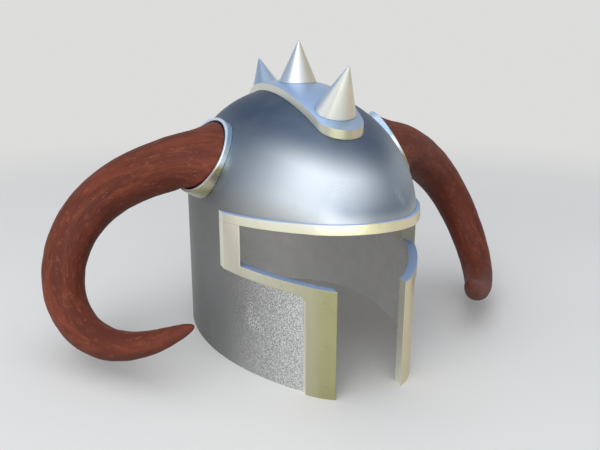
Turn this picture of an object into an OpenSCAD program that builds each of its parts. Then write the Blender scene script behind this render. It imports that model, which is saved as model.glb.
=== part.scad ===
// Horned helmet: a one-piece steel shell with a T-shaped face opening bound in
// channel trim, a crest plate with bolted spikes, and two horns held in collars.
// Millimetres. +Z is up, the face looks along -Y, the wearer's left is +X.
// The base rim lies on Z = 0 and the origin is under the middle of the shell.

/* [Shell] */
// Half of the shell's width at its widest section
half_width = 105; // [100:1:110]
// Radius of the long side arcs of the plan
side_radius = 242; // [230:1:255]
// Reach of the face in front of the widest section
face_reach = 180; // [174:1:184]
// Reach of the nape behind the widest section
nape_reach = 124; // [118:1:132]
// Height of the upright wall, where the dome springs
wall_height = 142; // [139:1:146]
// Thickness of the shell plate
plate_t = 3; // [2:0.25:4]

/* [Face opening] */
// Half of the eye slot's width, seen from the front
slot_half = 88.5; // [82:0.5:91]
// Half of the width of the gap below the slot
gap_half = 31.5; // [27:0.5:36]
// Height of the slot's lower edge beside the gap
sill_z = 97; // [90:0.5:101]
// Rise of the slot's lower edge from the gap to its outer end
sill_rise = 4; // [0:0.5:6]
// Height of the brow edge at the middle above the wall's top
brow_rise = 3; // [0:0.5:6]
// Drop of the brow edge from the middle to the slot's ends
brow_drop = 7; // [4:0.5:9]

/* [Trim] */
// How far the trim stands out of the shell
trim_t = 3.5; // [2.5:0.25:4.5]
// Thickness of the trim's lip inside the shell
lip_t = 2; // [1.5:0.25:2.5]
// Width of the trim's lip inside the shell
lip_w = 7.5; // [7:0.25:8]
// Width of the web that covers the plate's cut edge
web_t = 2.5; // [2:0.25:3]
// Height of the brow trim
brow_h = 8; // [7.5:0.25:9]
// Height of the trim below the slot
border_h = 9; // [8:0.25:11]
// Width of the uprights at the slot's ends, seen from the front
upright_w = 8.5; // [8:0.25:10]
// Width of the strips beside the gap, seen from the front
strip_w = 20; // [16:0.5:24]
// Fillet where the strip meets the trim below the slot
strip_fillet = 5; // [3:0.5:7]

/* [Trim rivets] */
// Radius of a trim rivet's shank
rivet_r = 1.5; // [1:0.1:1.8]
// Radius of a rivet's head inside the shell
rivet_head_r = 2.6; // [2.3:0.1:3]
// Height of a rivet's head
rivet_head_h = 1.2; // [0.8:0.1:1.6]
// Distance from the trim's free edge to the rivets
rivet_inset = 5.4; // [5:0.1:5.8]
// Distance from the trim's ends to the outer rivets
rivet_end = 11; // [9:0.5:14]

/* [Crest and spikes] */
// Half of the crest plate's width at its middle
crest_half = 27.5; // [25.5:0.5:30]
// Radius of the crest plate's rounded ends
crest_end = 21.5; // [20.5:0.5:24]
// Thickness of the crest plate
crest_t = 7; // [5:0.25:8]
// Reach of the crest plate in front of the widest section
crest_front = 127; // [124:1:130]
// Reach of the crest plate behind the widest section
crest_back = 101; // [98:1:106]
// Place of the middle spike, measured backwards from the widest section
spike_mid_y = -12; // [-15:1:-9]
// Distance between two spikes along the crest
spike_pitch = 85; // [80:1:88]
// Radius of a spike at its foot
spike_r = 18; // [15:0.5:20]
// Height of the front and rear spikes above the crest plate
spike_h = 44; // [38:0.5:48]
// Height of the middle spike
spike_mid_h = 37.5; // [34:0.5:48]
// Outward lean of the front and rear spikes from the crown's normal
spike_lean = 8; // [4:1:9]
// Radius of a spike's rounded tip
spike_tip_r = 1.5; // [1:0.25:2.5]
// Radius of the stud that holds a spike
stud_r = 3; // [2.5:0.25:4]
// Depth of the stud's hole in a spike
stud_depth = 16; // [12:1:20]
// Width of a spike's nut across its flats
nut_af = 10; // [9:0.5:12]
// Height of a spike's nut
nut_h = 5; // [4:0.5:6]
// Radius of the saddle washer below a nut
washer_r = 8; // [7:0.5:10]
// Thickness of the saddle washer at its middle
washer_t = 2; // [1.5:0.25:3]

/* [Horn seats] */
// Place of a horn's seat, measured backwards from the widest section
seat_y = -19; // [-22:1:-16]
// Height of a horn's seat above the wall's top
seat_rise = 43; // [41:0.5:45]
// Backward swing of the collar's axis
collar_yaw = -12; // [-16:1:-8]
// Upward tilt of the collar's axis
collar_rise = 30; // [27:1:33]
// Outer radius of the collar
collar_r = 38.2; // [36:0.2:39]
// Wall of the collar
collar_wall = 3.2; // [2.5:0.1:4]
// Height of the collar's lip above the shell, on its axis
collar_h = 7.2; // [6.6:0.2:9]
// Depth of the horn's root below the collar's lip
root_sink = 2.2; // [1:0.1:2.6]

/* [Horns] */
// Length of a horn along its middle line
horn_len = 392; // [370:1:400]
// Radius of a horn past its collar
horn_r = 26.8; // [24:0.2:27.6]
// Backward swing of the plane in which a horn starts to curl
curl_yaw = 44; // [41:1:48]
// Further swing of that plane along the horn
curl_twist = 11; // [6:1:16]
// Backward lean of that plane at the root
curl_lean = 36; // [32:1:40]
// Loss of that lean along the horn
lean_loss = 17; // [12:1:20]
// Downward pitch of a horn in that plane at its root
curl_pitch = 24; // [20:1:28]
// Angle through which a horn curls
curl_turn = 186; // [178:1:190]
// Share of the length at which the curl is under way
curl_ease = 1.07; // [1:0.01:1.14]
// Fullness of the taper along the horn
taper_reach = 1.2; // [1:0.05:1.6]
// Bluntness of the horn's tip
taper_blunt = 0.47; // [0.4:0.01:0.6]

/* [Horn fixings] */
// Radius of the wooden plug in a horn's root
plug_r = 16; // [13:0.5:17]
// Length of the plug
plug_len = 12; // [10:0.5:12.5]
// Radius of the bolt's shank
bolt_r = 4; // [3:0.25:5]
// Depth of the bolt in the plug
bolt_depth = 9; // [7:0.5:9.5]
// Radius of the bolt's domed head
bolt_head_r = 9; // [8:0.5:10]
// Height of the bolt's domed head
bolt_head_h = 4; // [3:0.25:5]
// Radius of the bolt's saddle washer
saddle_r = 13; // [11:0.5:14]
// Thickness of that washer on its axis
saddle_t = 3; // [2.5:0.25:4]

/* [Liner] */
// Height of the liner band's lower edge above the wall's top
band_rise = 13; // [12.5:0.5:15]
// Height of the liner band
band_h = 16; // [14:0.5:17]
// Thickness of the liner's leather
leather_t = 2.2; // [1.5:0.1:2.6]
// Half of the angle that a tongue covers
tongue_half = 12; // [10:0.5:13]
// Radius of the ring that the tongues' ends leave open
crown_hole = 24; // [20:1:28]
// Radius of the lace that draws the tongues together
lace_r = 1.6; // [1.2:0.1:2]
// Radius of a liner rivet's shank
liner_rivet_r = 1.4; // [1:0.1:1.8]
// Radius of a liner rivet's head
liner_head_r = 4; // [3:0.25:5]
// Height of a liner rivet's head
liner_head_h = 1; // [0.6:0.1:1.4]

/* [Fits] */
// Clearance between pieces that seat on each other
fit_gap = 0.15; // [0.1:0.05:0.3]
// Radial clearance round a shank in its hole
shank_gap = 0.1; // [0.05:0.05:0.2]

/* [Hidden] */
$fn = 96;
SHELL_SIDES = 300;
HORN_SIDES = 20;
HORN_RINGS = 34;
// Share of the horn in which its rings turn from the collar's plane to its own
ROOT_BLEND = 0.1;
// How far the curl hangs back before it sets in
CURL_LAG = 0.3;
// The crest's side arcs stop this short of their tangent points, inside the end arcs
ARC_STOP = 0.75;

// The plan is an oval of tangent arcs: a nose arc, a nape arc and two side arcs.
side_x = half_width - side_radius;
function end_radius(reach) =
  (side_radius * side_radius - side_x * side_x - reach * reach) / (2 * (side_radius - reach));
nose_r = end_radius(face_reach);
nape_r = end_radius(nape_reach);
nose_y = nose_r - face_reach;
nape_y = nape_reach - nape_r;
// Plan angles run from the nose, 0, past the wearer's left, 90, to the nape, 180
nose_end = atan2(-side_x, -nose_y);
nape_start = 180 - atan2(-side_x, nape_y);
// Shift that brings the middle of the shell's length over the origin
mid_y = (face_reach + trim_t - nape_reach) / 2;
beyond = 2 * side_radius;

function plan_centre(a) = a < nose_end ? [0, nose_y] : a > nape_start ? [0, nape_y] : [side_x, 0];
function plan_radius(a) = a < nose_end ? nose_r : a > nape_start ? nape_r : side_radius;
function plan_point(a, d = 0) = plan_centre(a) + (plan_radius(a) + d) * [sin(a), -cos(a)];
// Plan angle of the wall at a distance x from the middle plane, seen from the front
function angle_at_x(x) =
  x < plan_point(nose_end)[0] ? asin(x / nose_r) : 90 - acos((x - side_x) / side_radius);
// Plan angle of the wall at a distance y behind the widest section
function angle_at_y(y) = y > plan_point(nape_start)[1] ?
  90 + asin((y - nape_y) / nape_r) : 90 + asin(y / side_radius);
// Lift of the dome at plan angle a that reaches the height z
function lift_at(a, z) = asin((z - wall_height) / plan_point(a)[0]);
function unit(v) = v / norm(v);
function ease(t) = t * t * (3 - 2 * t);

// The solid inside the shell's outer face, grown by d
module plan_outline(d) {
  nose_cut = -(side_radius + d) * cos(nose_end);
  nape_cut = -(side_radius + d) * cos(nape_start);
  $fn = SHELL_SIDES;
  translate([0, nose_y]) circle(nose_r + d);
  translate([0, nape_y]) circle(nape_r + d);
  intersection() {
    translate([side_x, 0]) circle(side_radius + d);
    translate([-side_x, 0]) circle(side_radius + d);
    translate([-half_width - d, nose_cut]) square([2 * (half_width + d), nape_cut - nose_cut]);
  }
}

// The dome is the plan's outline turned about the helmet's long axis
module dome_solid(d) {
  mirror([0, 1, 0]) rotate([90, 0, 0]) rotate_extrude(angle = 180, $fn = SHELL_SIDES)
    intersection() {
      plan_outline(d);
      translate([0, -beyond]) square([beyond, 2 * beyond]);
    }
}

module helm_solid(d, below = 0) {
  translate([0, 0, -below]) linear_extrude(wall_height + below) plan_outline(d);
  translate([0, 0, wall_height]) dome_solid(d);
}

module centred() { translate([0, mid_y, 0]) children(); }
module both_sides() { children(); mirror([1, 0, 0]) children(); }

// Puts +Z along the outward normal of the wall or dome at plan angle a
module on_shell(a, lift = 0, d = 0) {
  translate([0, 0, wall_height]) rotate([0, -lift, 0]) translate(plan_point(a, d))
    rotate([0, 0, a]) rotate([90, 0, 0]) children();
}

// The same at a place seen from the front, on the wall or on the dome above it
module on_front(x, z) {
  over = max(z - wall_height, 0);
  translate([0, 0, min(z - wall_height, 0)])
    on_shell(angle_at_x(norm([x, over])), atan2(over, x)) children();
}

// Face opening, drawn from the front in X and Z

brow_z = wall_height + brow_rise;
brow_arc = (slot_half * slot_half + brow_drop * brow_drop) / (2 * brow_drop);
function sill_at(x) = sill_z + sill_rise * (x - gap_half) / (slot_half - gap_half);
function brow_at(x) = brow_z - brow_arc + sqrt(brow_arc * brow_arc - x * x);

module front_cut() { rotate([90, 0, 0]) linear_extrude(beyond) children(); }

module brow_disc(grow) { translate([0, brow_z - brow_arc]) circle(brow_arc + grow, $fn = 240); }

// The visible opening, grown by g on every edge
module opening(g) {
  s = slot_half + g;
  top = brow_z + g + 1;
  intersection() {
    brow_disc(g);
    polygon([[-s, sill_at(s) - g], [-gap_half, sill_z - g], [gap_half, sill_z - g],
             [s, sill_at(s) - g], [s, top], [-s, top]]);
  }
  translate([-gap_half - g, -1]) square([2 * (gap_half + g), sill_z + 1]);
}

module brow_area() {
  s = slot_half + upright_w;
  difference() {
    intersection() {
      brow_disc(brow_h);
      translate([-s, 0]) square([2 * s, brow_z + 2 * brow_h]);
    }
    brow_disc(0);
    translate([-s - 1, 0]) square([2 * s + 2, brow_at(s)]);
  }
}

// The wearer's left cheek: upright, border below the slot, and strip beside the gap
module cheek_area() {
  s = slot_half + upright_w;
  f = gap_half + strip_w;
  difference() {
    union() {
      polygon([[gap_half, 0], [f, 0], [f, sill_at(f) - border_h], [s, sill_at(s) - border_h],
               [s, brow_z], [slot_half, brow_z], [slot_half, sill_at(slot_half)],
               [gap_half, sill_z]]);
      difference() {
        translate([f, sill_at(f) - border_h - strip_fillet]) square(strip_fillet + 0.2);
        translate([f + strip_fillet, sill_at(f) - border_h - strip_fillet]) circle(strip_fillet);
        polygon([[f, sill_at(f) - border_h + 0.1], [s, sill_at(s) - border_h + 0.1], [s, 0],
                 [s, brow_z], [f, brow_z]]);
      }
    }
    difference() {
      translate([0, brow_at(s) - fit_gap]) square([s + 1, brow_z]);
      brow_disc(-fit_gap);
    }
  }
}

// A channel that binds the plate's cut edge: outer strip, web and inner lip
module channel() {
  difference() {
    intersection() {
      front_cut() children();
      helm_solid(trim_t);
    }
    helm_solid(-plate_t - lip_t, 1);
    difference() {
      helm_solid(fit_gap, 1);
      front_cut() opening(web_t - fit_gap);
      intersection() {
        front_cut() opening(lip_w);
        helm_solid(-plate_t - fit_gap, 1);
      }
    }
  }
}

brow_rivet_x = [for (i = [-2:2]) i * (slot_half - upright_w) / 2.1];
border_rivet_x = [gap_half + strip_w + rivet_end, slot_half - rivet_end];
strip_rivet_z = [for (i = [0:2]) rivet_end + i * (sill_z - 2 * rivet_end) / 2];

module brow_places() {
  for (x = brow_rivet_x) mirror([x < 0 ? 1 : 0, 0, 0])
    on_front(abs(x), brow_at(x) + rivet_inset) children();
}

module cheek_places() {
  for (x = border_rivet_x) on_front(x, sill_at(x) - rivet_inset) children();
  for (z = strip_rivet_z) on_front(gap_half + rivet_inset, z) children();
}

module rivet_hole() {
  translate([0, 0, -plate_t - lip_t - 2])
    cylinder(r = rivet_r + shank_gap, h = plate_t + lip_t + trim_t + 4);
}

module rivet() {
  inner = plate_t + lip_t + fit_gap;
  translate([0, 0, -inner]) cylinder(r = rivet_r, h = inner + trim_t);
  translate([0, 0, -inner - rivet_head_h]) cylinder(r1 = rivet_r, r2 = rivet_head_r, h = rivet_head_h);
}

// Crest

crest_mid_y = (crest_back - crest_front) / 2;
spike_y = [spike_mid_y - spike_pitch, spike_mid_y, spike_mid_y + spike_pitch];

// Puts +Z along the axis of spike i, from the crest plate's upper face
module on_spike(i) {
  on_shell(angle_at_y(spike_y[i]), 90, crest_t) rotate([0, (i - 1) * spike_lean, 0]) children();
}

// The crest plate's plan is an oval of tangent arcs
module crest_outline() {
  run = (crest_back + crest_front) / 2 - crest_end;
  arc = (run * run + crest_half * crest_half - crest_end * crest_end) / (2 * (crest_half - crest_end));
  $fn = SHELL_SIDES;
  translate([0, crest_mid_y]) {
    intersection() {
      translate([crest_half - arc, 0]) circle(arc);
      translate([arc - crest_half, 0]) circle(arc);
      square([2 * crest_half + 2, 2 * (run * arc / (arc - crest_end) - ARC_STOP)], center = true);
    }
    for (e = [-1, 1]) translate([0, e * run]) circle(crest_end);
  }
}

module spike(i, h) {
  top = h - spike_tip_r;
  slope = (spike_r - spike_tip_r) / top;
  difference() {
    on_spike(i) {
      translate([0, 0, -6]) cylinder(r1 = spike_r + 6 * slope, r2 = spike_tip_r, h = top + 6);
      translate([0, 0, top]) sphere(spike_tip_r);
    }
    helm_solid(crest_t + fit_gap);
    on_spike(i) translate([0, 0, -6]) cylinder(r = stud_r + shank_gap, h = stud_depth + 6);
  }
}

stud_low = plate_t + washer_t + nut_h + 2;

// The axis of each spike, from the shell's outer face
module each_spike() { for (i = [0:2]) on_spike(i) translate([0, 0, -crest_t]) children(); }

// Horn seats

seat_angle = angle_at_y(seat_y);
seat_z = wall_height + seat_rise;
seat_lift = lift_at(seat_angle, seat_z);
seat = [plan_point(seat_angle)[0] * cos(seat_lift), seat_y, seat_z];
collar_axis = [cos(collar_rise) * cos(collar_yaw), cos(collar_rise) * sin(collar_yaw), sin(collar_rise)];

module on_seat() { translate(seat) rotate([0, 90 - collar_rise, collar_yaw]) children(); }

collar_in = collar_r - collar_wall;
root_r = collar_in - 2 * fit_gap;

module collar_ring(grow = 0) {
  low = 18;
  difference() {
    on_seat() rotate_extrude() {
      translate([collar_in - grow, -low]) square([collar_wall + 2 * grow, low + collar_h - 1]);
      translate([collar_in + 1, -low]) square([collar_wall - 2, low + collar_h + grow]);
      for (x = [collar_in + 1, collar_r - 1]) translate([x, collar_h - 1]) circle(1 + grow, $fn = 24);
    }
    helm_solid(fit_gap - grow);
  }
}

// Horns

horn_step = 1 / HORN_RINGS;
function horn_share(i) = 1 - pow(1 - i * horn_step, 1.25);
function swing(s) = curl_yaw + curl_twist * s;
function lean(s) = curl_lean - lean_loss * s;
function curl_out(s) = [cos(swing(s)), sin(swing(s)), 0];
function curl_up(s) = sin(lean(s)) * [-sin(swing(s)), cos(swing(s)), 0] + [0, 0, cos(lean(s))];
function heading(s) = -curl_pitch - curl_turn * ((1 + CURL_LAG) * ease(pow(s, curl_ease)) - CURL_LAG * s);
function horn_dir(s) = cos(heading(s)) * curl_out(s) + sin(heading(s)) * curl_up(s);
// Places along the horn's middle line, each a short step past the one before
function horn_places(i = 1, found = [seat + collar_h * collar_axis]) =
  i > HORN_RINGS ? found :
  let (s0 = horn_share(i - 1), s1 = horn_share(i), m = horn_dir((s0 + s1) / 2))
  horn_places(i + 1, concat(found, [found[i - 1] + (s1 - s0) * horn_len * m]));
function root_share(s) = ease(min(s / ROOT_BLEND, 1));
function ring_normal(s) = unit((1 - root_share(s)) * collar_axis + root_share(s) * horn_dir(s));
function horn_radius(s) =
  let (body = horn_r * pow(1 - pow(s, taper_reach), taper_blunt))
  body + (root_r - horn_r) * pow(1 - root_share(s), 3);
function horn_ring(c, n, r) =
  let (side = cross(curl_out(0), curl_up(0)), v = unit(side - (side * n) * n), u = cross(v, n))
  [for (k = [0:HORN_SIDES - 1]) let (t = k * 360 / HORN_SIDES) c + r * (cos(t) * u + sin(t) * v)];

module horn_body() {
  places = horn_places();
  last = HORN_RINGS - 1;
  root = places[0] - root_sink * collar_axis;
  rings = concat(horn_ring(root, collar_axis, root_r),
    [for (i = [0:last]) each horn_ring(places[i], ring_normal(horn_share(i)), horn_radius(horn_share(i)))],
    [root, places[HORN_RINGS]]);
  n = HORN_SIDES;
  tip = len(rings) - 1;
  side = [for (i = [0:last], k = [0:n - 1])
    let (a = i * n + k, b = i * n + (k + 1) % n) each [[a, b, b + n], [a, b + n, a + n]]];
  ends = [for (k = [0:n - 1])
    let (b = (k + 1) % n) each [[k, tip - 1, b], [(last + 1) * n + k, (last + 1) * n + b, tip]]];
  polyhedron(rings, concat(side, ends), convexity = 6);
}

module horn() {
  difference() {
    horn_body();
    on_seat() translate([0, 0, collar_h - root_sink - 1])
      cylinder(r = plug_r + fit_gap, h = plug_len + fit_gap + 1);
    collar_ring(fit_gap);
    helm_solid(2 * fit_gap);
  }
}

bolt_out = collar_h - root_sink + bolt_depth;
bolt_in = plate_t + saddle_t;

module horn_plug() {
  difference() {
    on_seat() translate([0, 0, collar_h - root_sink]) cylinder(r = plug_r, h = plug_len);
    on_seat() cylinder(r = bolt_r + shank_gap, h = bolt_out + fit_gap);
  }
}

module horn_bolt() {
  on_seat() {
    translate([0, 0, -bolt_in - fit_gap]) cylinder(r = bolt_r, h = bolt_out + bolt_in);
    translate([0, 0, -bolt_in - fit_gap]) intersection() {
      ball = (bolt_head_r * bolt_head_r + bolt_head_h * bolt_head_h) / (2 * bolt_head_h);
      translate([0, 0, ball - bolt_head_h]) sphere(ball);
      translate([0, 0, -bolt_head_h]) cylinder(r = bolt_head_r + 1, h = bolt_head_h);
    }
  }
}

module horn_washer() {
  difference() {
    intersection() {
      on_seat() translate([0, 0, -bolt_in]) cylinder(r = saddle_r, h = bolt_in + 1);
      helm_solid(-plate_t - fit_gap);
    }
    on_seat() translate([0, 0, -bolt_in - 1]) cylinder(r = bolt_r + shank_gap, h = bolt_in + 3);
  }
}

// Liner

band_z = wall_height + band_rise;
band_face = plate_t + fit_gap;
tongue_face = band_face + leather_t + fit_gap;
liner_face = tongue_face + leather_t;
rivet_z = band_z + band_h / 2;
// Plan angles of the rivets, one for each tongue of the wearer's left side
liner_angle = [54, 73, 97, 146];
// Direction from the middle of the helmet to the rivet at plan angle a
function tongue_turn(a) =
  let (p = plan_point(a)) atan2(p[1], sqrt(p[0] * p[0] - pow(rivet_z - wall_height, 2)));

module liner_places() {
  both_sides() for (a = liner_angle) on_shell(a, lift_at(a, rivet_z)) children();
}

module liner_rivet_hole() {
  translate([0, 0, -liner_face - 2]) cylinder(r = liner_rivet_r + shank_gap, h = liner_face + 4);
}

module tongue_wedges() {
  low = crown_hole / 2;
  left = [cos(tongue_half), sin(tongue_half)];
  right = [cos(tongue_half), -sin(tongue_half)];
  both_sides() for (a = liner_angle) rotate(tongue_turn(a))
    polygon([low * right, beyond * right, beyond * left, low * left]);
}

lace_ring_r = crown_hole + lace_r;
lace_z = wall_height + sqrt(pow(half_width - liner_face, 2) - pow(lace_ring_r + lace_r, 2)) - lace_r - fit_gap;

// Nodes

module helm_shell() {
  color([0.62, 0.66, 0.70]) centred() difference() {
    helm_solid(0);
    helm_solid(-plate_t, 1);
    front_cut() opening(web_t);
    brow_places() rivet_hole();
    both_sides() cheek_places() rivet_hole();
    each_spike() translate([0, 0, -plate_t - 3]) cylinder(r = stud_r + shank_gap, h = plate_t + 6);
    both_sides() on_seat() translate([0, 0, -plate_t - 4])
      cylinder(r = bolt_r + shank_gap, h = plate_t + 8);
    liner_places() liner_rivet_hole();
  }
}

module brow_trim() {
  color([0.74, 0.72, 0.60]) centred() difference() {
    channel() brow_area();
    brow_places() rivet_hole();
  }
}

module cheek_trim() {
  color([0.72, 0.70, 0.57]) difference() {
    channel() cheek_area();
    cheek_places() rivet_hole();
  }
}

module cheek_trim_left() { centred() cheek_trim(); }
module cheek_trim_right() { centred() mirror([1, 0, 0]) cheek_trim(); }
module brow_rivets() { color([0.70, 0.68, 0.58]) centred() brow_places() rivet(); }
module cheek_rivets_left() { color([0.70, 0.68, 0.58]) centred() cheek_places() rivet(); }
module cheek_rivets_right() {
  color([0.70, 0.68, 0.58]) centred() mirror([1, 0, 0]) cheek_places() rivet();
}

module crest_plate() {
  color([0.60, 0.68, 0.80]) centred() difference() {
    intersection() {
      helm_solid(crest_t);
      translate([0, 0, wall_height]) linear_extrude(2 * half_width) crest_outline();
    }
    helm_solid(fit_gap);
    each_spike() translate([0, 0, -3]) cylinder(r = stud_r + shank_gap, h = crest_t + 6);
  }
}

module spike_front() { color([0.74, 0.76, 0.74]) centred() spike(0, spike_h); }
module spike_middle() { color([0.72, 0.77, 0.80]) centred() spike(1, spike_mid_h); }
module spike_rear() { color([0.66, 0.72, 0.80]) centred() spike(2, spike_h); }

module spike_studs() {
  color([0.55, 0.56, 0.58]) centred() each_spike()
    translate([0, 0, -stud_low]) cylinder(r = stud_r, h = stud_low + crest_t + stud_depth - fit_gap - 1);
}

module spike_washers() {
  color([0.60, 0.61, 0.63]) centred() difference() {
    intersection() {
      each_spike() translate([0, 0, -plate_t - washer_t]) cylinder(r = washer_r, h = plate_t + washer_t);
      helm_solid(-plate_t - fit_gap);
    }
    each_spike() translate([0, 0, -stud_low]) cylinder(r = stud_r + shank_gap, h = stud_low);
  }
}

module spike_nuts() {
  color([0.50, 0.51, 0.53]) centred() each_spike()
    translate([0, 0, -plate_t - washer_t - fit_gap - nut_h]) difference() {
      cylinder(r = nut_af / sqrt(3), h = nut_h, $fn = 6);
      translate([0, 0, -1]) cylinder(r = stud_r + shank_gap, h = nut_h + 2);
    }
}

module collar_left() { color([0.76, 0.78, 0.76]) centred() collar_ring(); }
module collar_right() { color([0.76, 0.78, 0.76]) centred() mirror([1, 0, 0]) collar_ring(); }
module horn_left() { color([0.42, 0.21, 0.16]) centred() horn(); }
module horn_right() { color([0.42, 0.21, 0.16]) centred() mirror([1, 0, 0]) horn(); }
module horn_plug_left() { color([0.66, 0.50, 0.33]) centred() horn_plug(); }
module horn_plug_right() { color([0.66, 0.50, 0.33]) centred() mirror([1, 0, 0]) horn_plug(); }
module horn_bolt_left() { color([0.45, 0.46, 0.48]) centred() horn_bolt(); }
module horn_bolt_right() { color([0.45, 0.46, 0.48]) centred() mirror([1, 0, 0]) horn_bolt(); }
module horn_washer_left() { color([0.58, 0.59, 0.61]) centred() horn_washer(); }
module horn_washer_right() { color([0.58, 0.59, 0.61]) centred() mirror([1, 0, 0]) horn_washer(); }

module liner_band() {
  color([0.40, 0.25, 0.15]) centred() difference() {
    intersection() {
      translate([0, 0, wall_height]) dome_solid(-band_face);
      translate([-beyond, -beyond, band_z]) cube([2 * beyond, 2 * beyond, band_h]);
    }
    translate([0, 0, wall_height]) dome_solid(-band_face - leather_t);
    liner_places() liner_rivet_hole();
  }
}

module liner_rivets() {
  color([0.62, 0.50, 0.28]) centred() liner_places() {
    translate([0, 0, -liner_face - fit_gap]) cylinder(r = liner_rivet_r, h = liner_face + fit_gap);
    translate([0, 0, -liner_face - fit_gap - liner_head_h]) cylinder(r = liner_head_r, h = liner_head_h);
  }
}

module liner_tongues() {
  color([0.45, 0.29, 0.18]) centred() difference() {
    intersection() {
      translate([0, 0, wall_height]) dome_solid(-tongue_face);
      translate([0, 0, band_z]) linear_extrude(beyond) tongue_wedges();
    }
    translate([0, 0, wall_height]) dome_solid(-liner_face);
    cylinder(r = crown_hole, h = beyond);
    liner_places() liner_rivet_hole();
  }
}

module liner_lace() {
  color([0.30, 0.19, 0.12]) centred()
    translate([0, 0, lace_z]) rotate_extrude() translate([lace_ring_r, 0]) circle(lace_r, $fn = 24);
}

helm_shell();
brow_trim();
cheek_trim_left();
cheek_trim_right();
brow_rivets();
cheek_rivets_left();
cheek_rivets_right();
crest_plate();
spike_front();
spike_middle();
spike_rear();
spike_studs();
spike_washers();
spike_nuts();
collar_left();
collar_right();
horn_left();
horn_right();
horn_plug_left();
horn_plug_right();
horn_bolt_left();
horn_bolt_right();
horn_washer_left();
horn_washer_right();
liner_band();
liner_rivets();
liner_tongues();
liner_lace();
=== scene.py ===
# %% [markdown]
# # A horned helmet, dressed in Blender
# The solids of the helmet come from its CAD model. This lesson gives them their steel, horn,
# wood, brass and leather, models the horns and the leather lining in full, and sets up a plain
# studio with a camera. Sizes are in metres: +Z is up, the face looks along -Y, and +X is the
# wearer's left.

import math

import bpy
from mathutils import Matrix, Vector


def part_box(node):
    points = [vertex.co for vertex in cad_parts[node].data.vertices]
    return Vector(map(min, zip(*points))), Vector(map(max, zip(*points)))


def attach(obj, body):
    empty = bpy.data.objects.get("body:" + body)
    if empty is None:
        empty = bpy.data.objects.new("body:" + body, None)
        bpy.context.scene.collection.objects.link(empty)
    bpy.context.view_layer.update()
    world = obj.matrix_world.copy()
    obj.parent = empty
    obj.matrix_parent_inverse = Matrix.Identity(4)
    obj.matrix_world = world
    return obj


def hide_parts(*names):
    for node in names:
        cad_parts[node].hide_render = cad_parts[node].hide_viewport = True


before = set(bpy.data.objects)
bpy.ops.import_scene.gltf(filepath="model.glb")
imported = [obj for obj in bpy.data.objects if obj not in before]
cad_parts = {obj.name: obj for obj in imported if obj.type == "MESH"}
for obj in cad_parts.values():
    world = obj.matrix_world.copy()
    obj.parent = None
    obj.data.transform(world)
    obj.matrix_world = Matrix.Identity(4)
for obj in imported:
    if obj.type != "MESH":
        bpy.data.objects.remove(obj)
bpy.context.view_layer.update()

# %% [markdown]
# ## Shader maths as expressions
# A material is a graph of nodes. Written node by node it is hard to read, so a socket is wrapped
# in a small class whose operators add the Math nodes: `1 - mask * 0.5` then reads as it would on
# paper.

# %% The socket
class Wire:
    """A shader socket that can be used in an expression."""

    def __init__(self, finish, socket):
        self.finish, self.socket = finish, socket

    def math(self, operation, *values):
        slots = {f"slot{i}": value for i, value in enumerate(values)}
        return self.finish.add("Math", {"operation": operation}, **slots)

    def __add__(self, other):
        return self.math("ADD", self, other)

    def __sub__(self, other):
        return self.math("SUBTRACT", self, other)

    def __rsub__(self, other):
        return self.math("SUBTRACT", other, self)

    def __mul__(self, other):
        return self.math("MULTIPLY", self, other)

    __radd__, __rmul__ = __add__, __mul__

    def step(self, low, high):
        """0 below low, 1 above high, and smooth between them."""
        return self.finish.add("MapRange", {"interpolation_type": "SMOOTHSTEP"}, Value=self,
                               From_Min=low, From_Max=high)


# %% [markdown]
# ## One material at a time
# A finish is one material, and its method `add` makes any node: its settings first, and then the
# values or links of its sockets. Node groups could hold what the finishes share, but a reader
# would have to open each one. So the steps that repeat, such as blending two colours, adding
# noise or a bump, are methods with plain names.

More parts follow.
